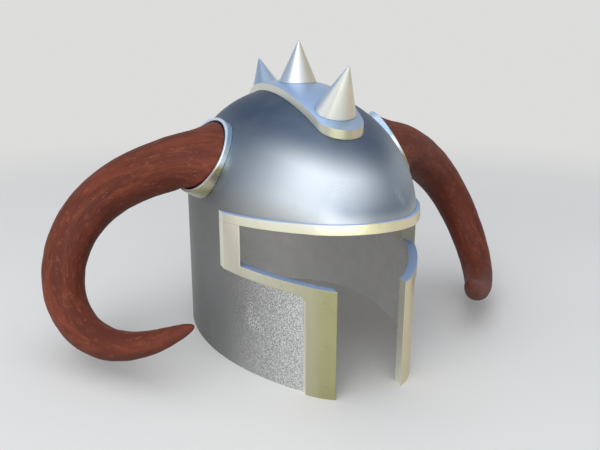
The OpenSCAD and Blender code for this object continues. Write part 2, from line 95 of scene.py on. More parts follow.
# %% The finish
class Finish:
    """One material, built node by node."""

    def __init__(self, name):
        self.material = bpy.data.materials.new(name)
        self.material.use_nodes = True
        self.tree = self.material.node_tree
        self.tree.nodes.clear()

    @staticmethod
    def socket(node, key):
        """Finds an input by its number, as in slot0, or by its name or identifier."""
        if key.startswith("slot"):
            return node.inputs[int(key[4:])]
        return next(s for s in node.inputs if key in (s.identifier, s.name.replace(" ", "_")))

    def add(self, kind, settings=None, out=0, **values):
        """Adds a node, with its settings first, and gives back one of its outputs."""
        node = self.tree.nodes.new("ShaderNode" + kind)
        for key, value in (settings or {}).items():
            if key == "stops":
                ramp = node.color_ramp.elements
                while len(ramp) < len(value):
                    ramp.new(0.5)
                for stop, (place, colour) in zip(ramp, value):
                    stop.position, stop.color = place, (*colour, 1)
            else:
                setattr(node, key, value)
        for key, value in values.items():
            socket = self.socket(node, key)
            if isinstance(value, Wire):
                self.tree.links.new(value.socket, socket)
            elif socket.type == "RGBA":
                socket.default_value = (*value, 1)
            else:
                socket.default_value = value
        return Wire(self, node.outputs[out]) if node.outputs else None

    def blend(self, mask, first, second):
        """A colour that goes from the first to the second with the mask."""
        return self.add("Mix", {"data_type": "RGBA"}, out=2,
                        Factor_Float=mask, A_Color=first, B_Color=second)

    def place(self):
        """Object coordinates: the CAD frame, in metres."""
        return self.add("TexCoord", out=3)

    def normal(self):
        return self.add("NewGeometry", out=1)

    def part(self, vector, axis):
        """One of the three numbers of a vector."""
        return self.add("SeparateXYZ", out="xyz".index(axis), Vector=vector)

    def stretched(self, scale):
        """Object coordinates, scaled."""
        return self.add("Mapping", Vector=self.place(), Scale=scale)

    def noise(self, scale, detail=2.0, roughness=0.5, vector=None, distortion=0.0):
        return self.add("TexNoise", Vector=vector or self.place(), Scale=scale, Detail=detail,
                        Roughness=roughness, Distortion=distortion)

    def bump(self, height, distance, strength=1.0, normal=None):
        values = {"Height": height, "Distance": distance, "Strength": strength}
        if normal:
            values["Normal"] = normal
        return self.add("Bump", **values)

    def facing_up(self):
        """1 on faces that look up, 0 on upright ones, -1 on those that look down."""
        return self.part(self.normal(), "z")

    def shader(self, **values):
        """Ends the graph with the principled shader."""
        surface = self.add("BsdfPrincipled", **values)
        self.add("OutputMaterial", Surface=surface)
        return self.material


def dress(material, *names):
    """Gives CAD nodes their material."""
    for name in names:
        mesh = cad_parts[name].data
        mesh.materials.clear()
        mesh.materials.append(material)
    print(material.name, "on", len(names), "nodes")


# %% [markdown]
# ## Satin steel for the shell
# The real shell is raised from one plate and left with a satin grain. Its colour follows the way
# each face looks, so light and shade are painted into it: a painted reflection of blue sky on the
# crown, a broad painted highlight on the front of the dome, the upright brow painted pale and
# painted shade on the flanks. The grain is fine everywhere, and coarser, like orange peel, where
# the plate was planished: low on the cheeks and in patches on the brow. Inside, the plate was never
# polished, so it is paler and duller there.
#
# The way that a face looks could come from the mesh alone. But the CAD mesh is split where the
# dome's curve changes, and a faint arc would show there. So the front of the dome takes its
# colours from the direction that an oval of nearly the same shape has at each point.

# %% Shell steel
MID_Y, SPRING = 0.02975, 0.142
OVAL_MIDDLE, OVAL_HALVES = (0, MID_Y, SPRING), (0.105, 0.19, 0.105)


def dome_way(f):
    """The direction in which the dome looks: an oval's at the front, the mesh's behind."""
    scale = [1 / half ** 2 for half in OVAL_HALVES]
    shift = [-middle * size for middle, size in zip(OVAL_MIDDLE, scale)]
    oval = f.add("Mapping", Vector=f.place(), Location=shift, Scale=scale)
    smooth = f.add("VectorMath", {"operation": "NORMALIZE"}, slot0=oval)
    front = 1 - f.part(f.place(), "y").step(-0.03, 0.03)
    return f.add("Mix", {"data_type": "VECTOR"}, out=1,
                 Factor_Float=front, A_Vector=f.normal(), B_Vector=smooth)


def shell_steel(name, inner, metal):
    f = Finish(name)
    place, normal = f.place(), f.normal()
    depth, height = f.part(place, "y"), f.part(place, "z")
    way = dome_way(f)
    aside, behind, up = (f.part(way, axis) for axis in "xyz")
    ahead = 0 - f.part(normal, "y")
    # These colours paint light into the steel: painted shade on the upright flanks and pale paint
    # where they face ahead, a painted reflection of blue sky on the crown, and a broad painted
    # highlight on the front of the dome, faded low on the left.
    wall = f.blend(ahead.step(0.0, 0.85), (0.20, 0.205, 0.20), (0.64, 0.65, 0.64))
    painted_sky_crown = f.blend(up.step(0.45, 0.85), (0.20, 0.25, 0.31), (0.055, 0.095, 0.165))
    painted_highlight = (0 - behind).step(0.12, 0.58) * (1 - aside.step(-0.15, 0.35) * 0.65)
    low_left = aside.step(-0.8, -0.35) * (1 - up.step(0.3, 0.65))
    painted_highlight = painted_highlight * (1 - low_left * 0.85)
    dome = f.blend(painted_highlight * (1 - up.step(0.62, 0.86) * 0.85), painted_sky_crown, (0.70, 0.76, 0.81))
    colour = f.blend(f.facing_up().step(0.02, 0.35), wall, dome)
    colour = f.blend(f.noise(16, 3).step(0.35, 0.75) * 0.15, colour, (0.42, 0.46, 0.52))
    outward = f.add("VectorMath", {"operation": "DOT_PRODUCT"}, out=1, Vector=normal,
                    slot1=f.add("Mapping", Vector=place, Location=(0, 0, -0.08)))
    inside = 1 - outward.step(-0.02, 0.02)
    mill = f.blend(f.noise(60, 4, 0.65).step(0.35, 0.7) * 0.12, inner, (0.50, 0.50, 0.51))
    colour = f.blend(inside, colour, mill)
    fine = f.noise(850, 2, 0.6)
    pebbles = f.noise(930, 1, 0.5, distortion=0.5)
    low = (1 - height.step(0.085, 0.105)) * (1 - depth.step(-0.105, -0.03))
    brow = (1 - height.step(0.15, 0.19)) * (1 - depth.step(-0.06, 0.0))
    coarse = low * 0.9 + f.noise(27, 1).step(0.55, 0.64) * brow * 0.6
    speckle = pebbles.step(0.42, 0.58)
    colour = f.blend(coarse * speckle * 0.62, colour, (0.92, 0.92, 0.91))
    colour = f.blend(coarse * (1 - speckle) * 0.45, colour, (0.20, 0.20, 0.21))
    rough = 0.46 + f.noise(140, 2) * 0.08 + inside * 0.1
    grain = f.bump(fine, 0.0003, 0.35, normal=f.bump(pebbles * coarse, 0.0009, 0.7))
    metallic = 1 - inside * (1 - metal) if metal < 1 else 1
    return f.shader(Base_Color=colour, Metallic=metallic, Roughness=rough, Normal=grain)


dress(shell_steel("shell_steel", inner=(0.95, 0.95, 0.95), metal=0.5), "helm_shell")

# %% [markdown]
# ## Polished steel for trim, crest and spikes
# These pieces are one pale, polished metal. It is champagne where it faces sideways or down, its
# own colour. Reflections are painted into that colour by the way each face looks: a painted white,
# then a painted pale blue sky where a face looks up or over the wearer's right shoulder, and a
# painted beige on faces that turn to the wearer's left. Where the low strips beside the face gap
# face ahead, a darker olive reflection of the room is painted on them. A bare metal with a mirror's
# gloss would show only this plain studio, so these painted reflections are in the colour itself.
# The crest plate is greyer, and the spikes are whiter, so one function makes all three from their
# own colours. A Bevel node rounds the edges, so that they catch the light as filed edges do.

# %% Trim steel
def trim_steel(name, dark, light, painted_sky):
    f = Finish(name)
    height = f.part(f.place(), "z")
    aside, ahead = f.part(f.normal(), "x"), 0 - f.part(f.normal(), "y")
    sky = f.facing_up() - aside * 0.38
    cloud = f.noise(30, 2)
    plain = f.blend(cloud, dark, light)
    # Painted reflections: beige on faces that turn to the wearer's left, a darker olive on the low
    # strips that face ahead, then white and blue sky on faces that look up.
    painted_olive_colour = f.blend(cloud, (0.33, 0.315, 0.155), (0.42, 0.40, 0.215))
    painted_beige = f.blend(cloud, (0.64, 0.53, 0.36), (0.74, 0.62, 0.43))
    painted_olive_mask = (1 - height.step(0.11, 0.145)) * ahead.step(0.25, 0.65)
    painted_olive_mask = painted_olive_mask * (1 - aside.step(0.0, 0.2) * 0.8)
    warm = f.blend(painted_olive_mask, f.blend(aside.step(-0.05, 0.25) * 0.6, plain, painted_beige), painted_olive_colour)
    painted_white = f.blend(sky.step(0.22, 0.5), warm, (0.88, 0.90, 0.89))
    colour = f.blend(sky.step(0.5, 0.82), painted_white, (0.37, 0.48, 0.63))
    colour = f.blend(sky.step(0.84, 0.97), colour, painted_sky)
    rounded = f.add("Bevel", {"samples": 6}, Radius=0.0007)
    marks = f.noise(300, 2, vector=f.stretched((1, 1, 6)))
    grain = f.bump(marks, 0.0003, 0.12, normal=rounded)
    rough = 0.30 + f.noise(90, 2) * 0.08
    metal = 0.7 - sky.step(0.7, 0.95) * (1 - height.step(0.15, 0.2)) * 0.6
    return f.shader(Base_Color=colour, Metallic=metal, Roughness=rough, Normal=grain)


trim_finish = trim_steel("trim_steel", (0.80, 0.75, 0.45), (0.92, 0.87, 0.59), (0.36, 0.52, 0.82))
dress(trim_finish, "brow_trim", "cheek_trim_left", "cheek_trim_right")
dress(trim_finish, "brow_rivets", "cheek_rivets_left", "cheek_rivets_right")
dress(trim_steel("crest_steel", (0.38, 0.38, 0.25), (0.50, 0.50, 0.36), (0.36, 0.51, 0.78)),
      "crest_plate")
dress(trim_steel("spike_steel", (0.58, 0.59, 0.51), (0.72, 0.73, 0.65), (0.31, 0.42, 0.56)),
      "spike_front", "spike_middle", "spike_rear")

# %% [markdown]
# ## Mirror-bright collars
# The collars are turned rings, polished brighter than the rest. Their bands are painted
# reflections: painted blue sky at the top, painted white below it, then painted olive and brown
# from the room. A ramp over the height could be one flat stripe pattern, so a little noise bends
# the bands, and the rim that faces the horn gets a painted white highlight.

# %% Collar finish
def collar_steel():
    f = Finish("collar_steel")
    side, front, up = (f.part(f.normal(), axis) for axis in "xyz")
    level = f.part(f.place(), "z") * 15.2 - 2.31 + f.noise(70, 2) * 0.08
    # The ramp paints the reflections of sky and room as bands.
    painted_reflection_bands = f.add("ValToRGB", {"stops": [
        (0.00, (0.50, 0.50, 0.46)), (0.12, (0.34, 0.32, 0.16)), (0.24, (0.56, 0.54, 0.40)),
        (0.36, (0.33, 0.26, 0.20)), (0.47, (0.38, 0.36, 0.17)), (0.57, (0.82, 0.88, 0.84)),
        (0.74, (0.78, 0.90, 0.94)), (0.88, (0.42, 0.60, 0.76)), (1.00, (0.52, 0.68, 0.88))]},
        Fac=level)
    # A painted white highlight on the rim that faces the horn.
    painted_rim_highlight = (side.math("ABSOLUTE", side) * 0.847 - front * 0.18 + up * 0.5).step(0.88, 0.95)
    colour = f.blend(painted_rim_highlight, painted_reflection_bands, (0.82, 0.84, 0.95))
    rounded = f.add("Bevel", {"samples": 6}, Radius=0.0012)
    rough = 0.24 + f.noise(90, 2) * 0.06
    return f.shader(Base_Color=colour, Metallic=0.75, Roughness=rough, Normal=rounded)


dress(collar_steel(), "collar_left", "collar_right")

# %% [markdown]
# ## The plain fixings
# Studs, nuts, bolts and washers lie inside and are a duller steel, and the plugs in the horns'
# roots are bare wood. The trim's rivets are filed flush and polished with it, so they have its
# finish already. The liner's rivets have brass heads inside, but outside they are flush with the
# shell. Two materials would need two pieces, so they get the shell's own function, with brass in
# place of its inner side.

# %% Fixings
def fixing_metal(name, dark, light, rough):
    f = Finish(name)
    colour = f.blend(f.noise(220, 3), dark, light)
    normal = f.bump(f.noise(700, 2), 0.0002, 0.3)
    rough = rough + f.noise(400, 2) * 0.15
    return f.shader(Base_Color=colour, Metallic=1.0, Roughness=rough, Normal=normal)


def plug_wood():
    f = Finish("plug_wood")
    rings = f.noise(120, 3, vector=f.stretched((0.4, 3, 3)))
    colour = f.blend(rings.step(0.35, 0.65), (0.48, 0.30, 0.15), (0.66, 0.47, 0.27))
    return f.shader(Base_Color=colour, Roughness=0.7, Normal=f.bump(rings, 0.0005, 0.4))


dress(fixing_metal("bolt_steel", (0.30, 0.31, 0.33), (0.44, 0.45, 0.47), 0.35), "spike_studs",
      "spike_washers", "spike_nuts", "horn_bolt_left", "horn_bolt_right", "horn_washer_left",
      "horn_washer_right")
dress(shell_steel("liner_brass", inner=(0.62, 0.45, 0.19), metal=1), "liner_rivets")
dress(plug_wood(), "horn_plug_left", "horn_plug_right")

# %% [markdown]
# ## The horns' path
# A real horn grows ring by ring in a curl that also swings out of its plane. A curve drawn by
# hand could follow it, but it would miss the collar and the CAD horn. So the path is worked out
# the same way as in the CAD model: short steps in a direction that turns slowly. At the root the
# rings lie in the plane of the collar, and within a tenth of the length they turn to face along
# the path.

# %% The curl
HORN_LENGTH, HORN_RADIUS = 0.392, 0.0268
ROOT_RADIUS, ROOT_SINK, COLLAR_LIP = 0.0347, 0.0022, 0.0072
HORN_SEAT = Vector((0.09497, 0.01075, 0.185))
COLLAR_YAW, COLLAR_RISE = math.radians(-12), math.radians(30)
COLLAR_AXIS = Vector((math.cos(COLLAR_RISE) * math.cos(COLLAR_YAW),
                      math.cos(COLLAR_RISE) * math.sin(COLLAR_YAW), math.sin(COLLAR_RISE)))
SWING, SWING_GAIN, LEAN, LEAN_LOSS = 44, 11, 36, 17
FIRST_TURN, WHOLE_TURN, TURN_EASE = 24, 186, 0.3
ROOT_PART, WITHIN_CAD = 0.1, 0.985
HORN_RINGS, HORN_SIDES = 64, 40


def ease(t):
    return t * t * (3 - 2 * t)


def curl_plane(swing, lean):
    """The two axes of the plane in which the horn curls: outwards and upwards."""
    swing, lean = math.radians(swing), math.radians(lean)
    out = Vector((math.cos(swing), math.sin(swing), 0))
    return out, math.sin(lean) * Vector((-out.y, out.x, 0)) + Vector((0, 0, math.cos(lean)))


def horn_way(s):
    """Direction of the horn at a share s of its length."""
    out, up = curl_plane(SWING + SWING_GAIN * s, LEAN - LEAN_LOSS * s)
    share = (1 + TURN_EASE) * ease(s ** 1.07) - TURN_EASE * s
    turn = math.radians(-FIRST_TURN - WHOLE_TURN * share)
    return math.cos(turn) * out + math.sin(turn) * up


def root_share(s):
    """0 at the collar, and 1 where the rings face along the path."""
    return ease(min(s / ROOT_PART, 1))


def horn_girth(s):
    """Radius of the ring at s, a little less than the CAD horn's to leave room for relief."""
    body = HORN_RADIUS * (1 - s ** 1.2) ** 0.47
    return WITHIN_CAD * (body + (ROOT_RADIUS - HORN_RADIUS) * (1 - root_share(s)) ** 3)


def ring_frame(s):
    """The axes of the ring at s: its normal comes last."""
    normal = ((1 - root_share(s)) * COLLAR_AXIS + root_share(s) * horn_way(s)).normalized()
    across = CURL_SIDE - CURL_SIDE.project(normal)
    across.normalize()
    return Matrix((across.cross(normal), across, normal)).transposed()


first_out, first_up = curl_plane(SWING, LEAN)
CURL_SIDE = first_out.cross(first_up)
shares = [1 - (1 - i / HORN_RINGS) ** 1.25 for i in range(HORN_RINGS + 1)]
spots = [HORN_SEAT + COLLAR_LIP * COLLAR_AXIS]
for before, after in zip(shares, shares[1:]):
    spots.append(spots[-1] + (after - before) * HORN_LENGTH * horn_way((before + after) / 2))
print("horn tip at", [round(c, 4) for c in spots[-1]])

# %% [markdown]
# ## Growing a shape ring by ring
# Extruding a ring, moving it, turning it and scaling it is how a horn is modelled by hand. The
# four steps are one helper here, which the lace uses too. Without a window the rotate operator
# turns the other way, so its angles get a minus sign.

# %% The ring helper
def fresh():
    """Leaves edit mode with nothing selected."""
    if bpy.context.object and bpy.context.object.mode != "OBJECT":
        bpy.ops.object.mode_set(mode="OBJECT")
    bpy.ops.object.select_all(action="DESELECT")


def turn_to(old, new, spot):
    """Turns the selection from one frame to another about a spot."""
    for axis, angle in zip("XYZ", (new @ old.transposed()).to_euler("XYZ")):
        bpy.ops.transform.rotate(value=-angle, orient_axis=axis, center_override=spot)


def grow(old_spot, new_spot, old_frame, new_frame, scale):
    """Extrudes the selected ring to its next place, direction and size."""
    bpy.ops.mesh.extrude_region_move(TRANSFORM_OT_translate={"value": new_spot - old_spot})
    turn_to(old_frame, new_frame, new_spot)
    bpy.ops.transform.resize(value=(scale, scale, scale), center_override=new_spot)


def named(name, material, slot, *nodes):
    """Names the active piece, dresses it and ties it to the frame."""
    piece = bpy.context.object
    piece.name = piece.data.name = name
    piece.data.materials.clear()
    piece.data.materials.append(material)
    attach(piece, "root")
    if nodes:
        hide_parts(*nodes)
    print(name, len(piece.data.polygons), "faces")
    return piece


def apply(piece, kind, **settings):
    """Adds a modifier to the active piece and applies it at once."""
    modifier = piece.modifiers.new(kind.lower(), kind)
    for key, value in settings.items():
        setattr(modifier, key, value)
    bpy.ops.object.modifier_apply(modifier=modifier.name)


# %% [markdown]
# ## Horn
# Horn is keratin: red-brown, darker in long streaks that follow its growth, with shallow ridges
# along it and a satin gloss. The streaks need to follow the curl, so every point of the mesh
# keeps its place on the horn as if it were straight, and the material reads that.

# %% Horn finish
def horn_keratin():
    f = Finish("horn_keratin")
    straight = f.add("Attribute", {"attribute_name": "straight"}, out=1)

    def along(scale, stretch, detail, roughness, distortion):
        place = f.add("Mapping", Vector=straight, Scale=(stretch, 1, 1))
        return f.noise(scale, detail, roughness, vector=place, distortion=distortion)

    fibres = along(330, 0.09, 4, 0.62, 0.3)
    streaks = along(95, 0.16, 4, 0.6, 0.8)
    clouds = along(22, 0.5, 3, 0.5, 0.6)
    warm = f.blend(streaks.step(0.36, 0.66), (0.095, 0.021, 0.011), (0.180, 0.042, 0.021))
    colour = f.blend(clouds.step(0.3, 0.75) * 0.6, warm, (0.125, 0.029, 0.017))
    mottle = along(190, 0.55, 3, 0.7, 0.4)
    colour = f.blend(mottle.step(0.54, 0.68) * 0.5, colour, (0.230, 0.072, 0.043))
    colour = f.blend((1 - mottle.step(0.30, 0.45)) * 0.35, colour, (0.062, 0.016, 0.010))
    colour = f.blend(fibres.step(0.60, 0.74) * 0.45, colour, (0.30, 0.105, 0.062))
    # Faces that look down are painted darker: painted shade on the horn's underside.
    painted_shade_below = 1 - f.facing_up().step(-0.9, 0.1)
    colour = f.blend(painted_shade_below * 0.6, colour, (0.055, 0.013, 0.007))
    tip = f.part(straight, "x").step(0.34, HORN_LENGTH)
    colour = f.blend(tip * 0.5, colour, (0.110, 0.028, 0.016))
    rough = 0.48 + streaks * 0.22
    normal = f.bump(streaks, 0.0012, 0.5, normal=f.bump(mottle, 0.0011, 0.7))
    return f.shader(Base_Color=colour, Roughness=rough, Specular_IOR_Level=0.18, Normal=normal)


horn_finish = horn_keratin()

# %% [markdown]
# ## Modelling the horn
# A tapered curve would be the quickest horn, but its first ring couldn't lie in the collar's
# plane. So the ring at the root is a circle, turned to that plane. It grows along the path, and
# its last ring is merged to a point. The points come in ring order, so each one's straight place
# follows from its number.

# %% Horn mesh
def horn_piece():
    fresh()
    root = spots[0] - ROOT_SINK * COLLAR_AXIS
    bpy.ops.mesh.primitive_circle_add(vertices=HORN_SIDES, radius=horn_girth(0), location=root)
    bpy.ops.object.transform_apply(location=True, rotation=False, scale=False)
    bpy.ops.object.mode_set(mode="EDIT")
    frame_now = ring_frame(0)
    turn_to(Matrix.Identity(3), frame_now, root)
    here, girth = root, horn_girth(0)
    for spot, share in list(zip(spots, shares))[:-1]:
        new_frame, new_girth = ring_frame(share), horn_girth(share)
        grow(here, spot, frame_now, new_frame, new_girth / girth)
        here, frame_now, girth = spot, new_frame, new_girth
    bpy.ops.mesh.extrude_region_move(TRANSFORM_OT_translate={"value": spots[-1] - here})
    bpy.ops.mesh.merge(type="CENTER")
    bpy.ops.object.mode_set(mode="OBJECT")
    return bpy.context.object


def straighten(piece):
    """Gives each point its place on the horn as if it were straight."""
    values = piece.data.attributes.new("straight", "FLOAT_VECTOR", "POINT").data
    ring_shares = [0] + shares
    for i, value in enumerate(values):
        ring, k = divmod(i, HORN_SIDES)
        s = ring_shares[ring]
        girth, turn = horn_girth(min(s, 0.9999)), 2 * math.pi * k / HORN_SIDES
        value.vector = (s * HORN_LENGTH, girth * math.cos(turn), girth * math.sin(turn))


horn = horn_piece()
straighten(horn)
print("horn points:", len(horn.data.vertices))

# %% [markdown]
# ## Root socket and skin
# A wooden plug sits in the hollow root of the real horn, and the bolt goes into it. A Boolean
# could cut that socket, but it leaves uneven faces. So the open root is filled, inset to the
# plug's width and pushed in along the collar's axis. A clouds texture then displaces the skin by
# half a millimetre, for a real horn is never quite smooth.

# %% Finish the left horn
def root_socket(piece, radius, depth):
    bpy.ops.object.mode_set(mode="EDIT")
    bpy.ops.mesh.select_mode(type="VERT")
    bpy.ops.mesh.select_all(action="DESELECT")
    bpy.ops.object.mode_set(mode="OBJECT")
    for v in piece.data.vertices[:HORN_SIDES]:
        v.select = True
    bpy.ops.object.mode_set(mode="EDIT")
    bpy.ops.mesh.edge_face_add()
    bpy.ops.mesh.inset(thickness=horn_girth(0) - radius)
    bpy.ops.mesh.extrude_region_move(TRANSFORM_OT_translate={"value": COLLAR_AXIS * depth})
    bpy.ops.mesh.select_all(action="SELECT")
    bpy.ops.mesh.normals_make_consistent(inside=False)
    bpy.ops.object.mode_set(mode="OBJECT")


def horn_skin(piece):
    clouds = bpy.data.textures.new("horn_relief", "CLOUDS")
    clouds.noise_scale = 0.018
    apply(piece, "SUBSURF", levels=1, render_levels=1)
    apply(piece, "DISPLACE", texture=clouds, strength=0.0011, mid_level=0.75)
    bpy.ops.object.shade_smooth_by_angle(angle=math.radians(50))


root_socket(horn, radius=0.0162, depth=0.0124)
horn_skin(horn)
named("curled_horn_left", horn_finish, "horn", "horn_left")

# %% [markdown]
# ## The other horn
# The wearer's right horn is the mirror image. A Mirror modifier would keep both in one piece, and
# each horn is a piece of its own. So it is copied with its own mesh and scaled by -1 in X, which
# turns it inside out, and its normals are made to point outwards again.

# %% Mirror the horn
def mirrored(piece):
    fresh()
    piece.select_set(True)
    bpy.context.view_layer.objects.active = piece
    bpy.ops.object.duplicate()
    bpy.ops.object.mode_set(mode="EDIT")
    bpy.ops.mesh.select_all(action="SELECT")
    bpy.ops.transform.resize(value=(-1, 1, 1), center_override=(0, 0, 0))
    bpy.ops.mesh.normals_make_consistent(inside=False)
    bpy.ops.object.mode_set(mode="OBJECT")
    return bpy.context.object


mirrored(horn)
named("curled_horn_right", horn_finish, "horn", "horn_right")

# %% [markdown]
# ## Leather for the lining
# The lining is vegetable-tanned leather: brown, a little uneven, with a pebbled grain, darker
# burnished edges and a row of waxed stitches inside each edge. Grain is a cell pattern in a Bump
# node. The stitches have to run along the piece, so each point of a leather piece keeps two
# distances: how far it is from the nearest edge, and how far along the piece it lies.

# %% Leather finish
STITCHES_PER_METRE = 250


def lining_leather(name, dark, light):
    f = Finish(name)
    lay = f.add("Attribute", {"attribute_name": "lay"}, out=1)
    edge, along = f.part(lay, "x"), f.part(lay, "y")
    cells = f.add("TexVoronoi", {"feature": "DISTANCE_TO_EDGE"}, Vector=f.place(), Scale=620)
    colour = f.blend(f.noise(45, 4, 0.6), dark, light)
    colour = f.blend((1 - edge.step(0.0, 0.0022)) * 0.75, colour, (0.045, 0.022, 0.012))
    beat = f.add("Math", {"operation": "FRACT"}, slot0=along * STITCHES_PER_METRE)
    row = edge.step(0.0022, 0.0026) * (1 - edge.step(0.0032, 0.0036))
    thread = row * beat.step(0.06, 0.16) * (1 - beat.step(0.74, 0.84))
    colour = f.blend(thread, colour, (0.52, 0.43, 0.28))
    colour = f.blend(row * (1 - thread) * 0.5, colour, (0.05, 0.025, 0.014))
    normal = f.bump(thread, 0.0006, 0.8, normal=f.bump(cells.step(0.0, 0.12), 0.0003, 0.5))
    rough = 0.52 + f.noise(120, 2) * 0.2
    return f.shader(Base_Color=colour, Roughness=rough, Normal=normal)


band_leather = lining_leather("band_leather", (0.105, 0.048, 0.024), (0.185, 0.092, 0.048))
tongue_leather = lining_leather("tongue_leather", (0.145, 0.072, 0.038), (0.245, 0.132, 0.072))

# %% [markdown]
# ## Blocking leather over a former
# A saddler would cut each leather flat, wet it, and press it against the shell until it holds
# the curve. The Shrinkwrap modifier could do it, but it slides a point sideways to the nearest
# spot. So each point is sent straight out from the middle of the head with ray_cast, until it
# meets the shell's inside, and stops at the distance that its layer needs. Solidify then gives
# the hide its thickness, and Bevel rounds its edges.

# %% The blocking helper
HIDE = 0.0022


def block_leather(piece, away, level=False):
    """Presses a strip against the shell's inside and gives it the hide's thickness."""
    shell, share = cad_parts["helm_shell"], 1.0
    for v in piece.data.vertices:
        middle = Vector((0, MID_Y, v.co.z if level else SPRING))
        way = v.co - middle
        met, spot, normal, _ = shell.ray_cast(middle, way.normalized())
        if met and normal.dot(way) < -0.5 * way.length:
            share = (spot + normal * away - middle).length / way.length
        v.co = middle + way * share
    area = sum(face.area for face in piece.data.polygons)
    apply(piece, "SOLIDIFY", thickness=HIDE, offset=0)
    apply(piece, "BEVEL", width=0.0004, segments=2, limit_method="ANGLE")
    bpy.ops.object.mode_set(mode="EDIT")
    bpy.ops.mesh.select_all(action="SELECT")
    bpy.ops.mesh.normals_make_consistent(inside=False)
    bpy.ops.object.mode_set(mode="OBJECT")
    bpy.ops.object.shade_smooth_by_angle(angle=math.radians(40))
    return area


def note_lay(piece, edge_and_along):
    """Keeps each point's two distances for the leather finish."""
    values = piece.data.attributes.new("lay", "FLOAT_VECTOR", "POINT").data
    for value, (edge, along) in zip(values, edge_and_along):
        value.vector = (edge, along, 0)


def compare(piece, node):
    """Prints a piece's box beside the box of the solid that it stands for."""
    low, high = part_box(node)
    mine = [[round(pick(v.co[k] for v in piece.data.vertices), 4) for k in range(3)]
            for pick in (min, max)]
    print(piece.name, mine, "solid", [round(v, 4) for v in low], [round(v, 4) for v in high])


# %% [markdown]
# ## The liner's band
# The band is one long strip, riveted round the inside above the brow. It could be bent from a
# flat plane, but its two ends would have to be joined. So a circle is stretched to the oval of
# the head, and its edge is extruded upwards in rows, which are then blocked against the shell.

# %% Band
BAND_LOW, BAND_TALL, BAND_ROWS, BAND_STEPS = 0.155, 0.016, 8, 220
BAND_RADIUS, BAND_STRETCH, BAND_MIDDLE = 0.09, 1.475, (0, 0.0018, BAND_LOW)


def band_strip():
    fresh()
    bpy.ops.mesh.primitive_circle_add(vertices=BAND_STEPS, radius=BAND_RADIUS, location=BAND_MIDDLE)
    bpy.ops.object.transform_apply(location=True, rotation=False, scale=False)
    bpy.ops.object.mode_set(mode="EDIT")
    bpy.ops.mesh.select_all(action="SELECT")
    bpy.ops.transform.resize(value=(1, BAND_STRETCH, 1), center_override=BAND_MIDDLE)
    rise = (0, 0, BAND_TALL / BAND_ROWS)
    for _ in range(BAND_ROWS):
        bpy.ops.mesh.extrude_edges_move(TRANSFORM_OT_translate={"value": rise})
    bpy.ops.object.mode_set(mode="OBJECT")
    return bpy.context.object


band = band_strip()
points = [v.co.copy() for v in band.data.vertices]
band_length = sum((points[k] - points[(k + 1) % BAND_STEPS]).length for k in range(BAND_STEPS))
band_edges = [min(v.z - BAND_LOW, BAND_LOW + BAND_TALL - v.z) for v in points]
band_runs = [band_length * (k % BAND_STEPS) / BAND_STEPS for k in range(len(points))]
note_lay(band, zip(band_edges, band_runs))
band_area = block_leather(band, away=0.00125, level=True)
named("blocked_band", band_leather, "liner_leather", "liner_band")
print("band area", round(band_area, 5))
compare(band, "liner_band")

# %% [markdown]
# ## The liner's tongues
# Eight tongues run from the band up to the crown. Draped cloth would settle in folds of its own,
# and stretched leather has none. So each tongue starts as one short row of faces at the band, and
# grows row by row along an arc over the head, a fifth smaller than the shell, narrowing on the
# way. The last rows round off its end. It is then pressed outwards, against the band's inner
# side.

# %% The rows of a tongue
TONGUE_ROWS, CROWN_HOLE = 26, 0.0242
TONGUE_HALF, ROUND_END = math.radians(11.7), (0.58, 0.8, 0.93)
DOME_IN, INSET = 0.102, 0.8


def tongue_arc(direction, reach, step):
    """Place and frame of one row: across, along and outward, and how far out it lies."""
    end = math.acos(CROWN_HOLE / reach)
    start = math.asin((BAND_LOW + HIDE - SPRING) / DOME_IN)
    turn = start + (end - start) * step / TONGUE_ROWS
    plan = Vector((math.cos(direction), math.sin(direction), 0))
    out, up = INSET * reach, INSET * DOME_IN
    spot = Vector((0, MID_Y, SPRING)) + plan * (out * math.cos(turn))
    spot += Vector((0, 0, up * math.sin(turn)))
    along = (Vector((0, 0, up * math.cos(turn))) - plan * (out * math.sin(turn))).normalized()
    across = Vector((-plan.y, plan.x, 0))
    return spot, Matrix((across, along, across.cross(along))).transposed(), out * math.cos(turn)


def tongue_width(out, step):
    left = TONGUE_ROWS - step
    return 2 * out * math.tan(TONGUE_HALF) * (ROUND_END[left] if left < len(ROUND_END) else 1)


# %% Growing one tongue
def tongue_strip(direction, reach):
    fresh()
    spot, now, out = tongue_arc(direction, reach, 0)
    wide = tongue_width(out, 0)
    bpy.ops.mesh.primitive_grid_add(x_subdivisions=8, y_subdivisions=1, size=1)
    bpy.ops.object.mode_set(mode="EDIT")
    bpy.ops.mesh.select_all(action="SELECT")
    bpy.ops.transform.resize(value=(wide, 0.0001, 1), center_override=(0, 0, 0))
    turn_to(Matrix.Identity(3), now, (0, 0, 0))
    bpy.ops.transform.translate(value=spot)
    bpy.ops.mesh.select_mode(type="EDGE")
    bpy.ops.mesh.select_all(action="DESELECT")
    bpy.ops.object.mode_set(mode="OBJECT")
    piece = bpy.context.object
    ahead = now.col[1]
    for edge in piece.data.edges:
        edge.select = all((piece.data.vertices[k].co - spot).dot(ahead) > 0 for k in edge.vertices)
    for v in piece.data.vertices:
        v.select = (v.co - spot).dot(ahead) > 0
    bpy.ops.object.mode_set(mode="EDIT")
    for step in range(1, TONGUE_ROWS + 1):
        new_spot, new_frame, out = tongue_arc(direction, reach, step)
        new_wide = tongue_width(out, step)
        bpy.ops.mesh.extrude_edges_move(TRANSFORM_OT_translate={"value": new_spot - spot})
        turn_to(now, new_frame, new_spot)
        bpy.ops.transform.resize(value=(new_wide / wide,) * 3, center_override=new_spot)
        spot, now, wide = new_spot, new_frame, new_wide
    bpy.ops.object.mode_set(mode="OBJECT")
    return piece


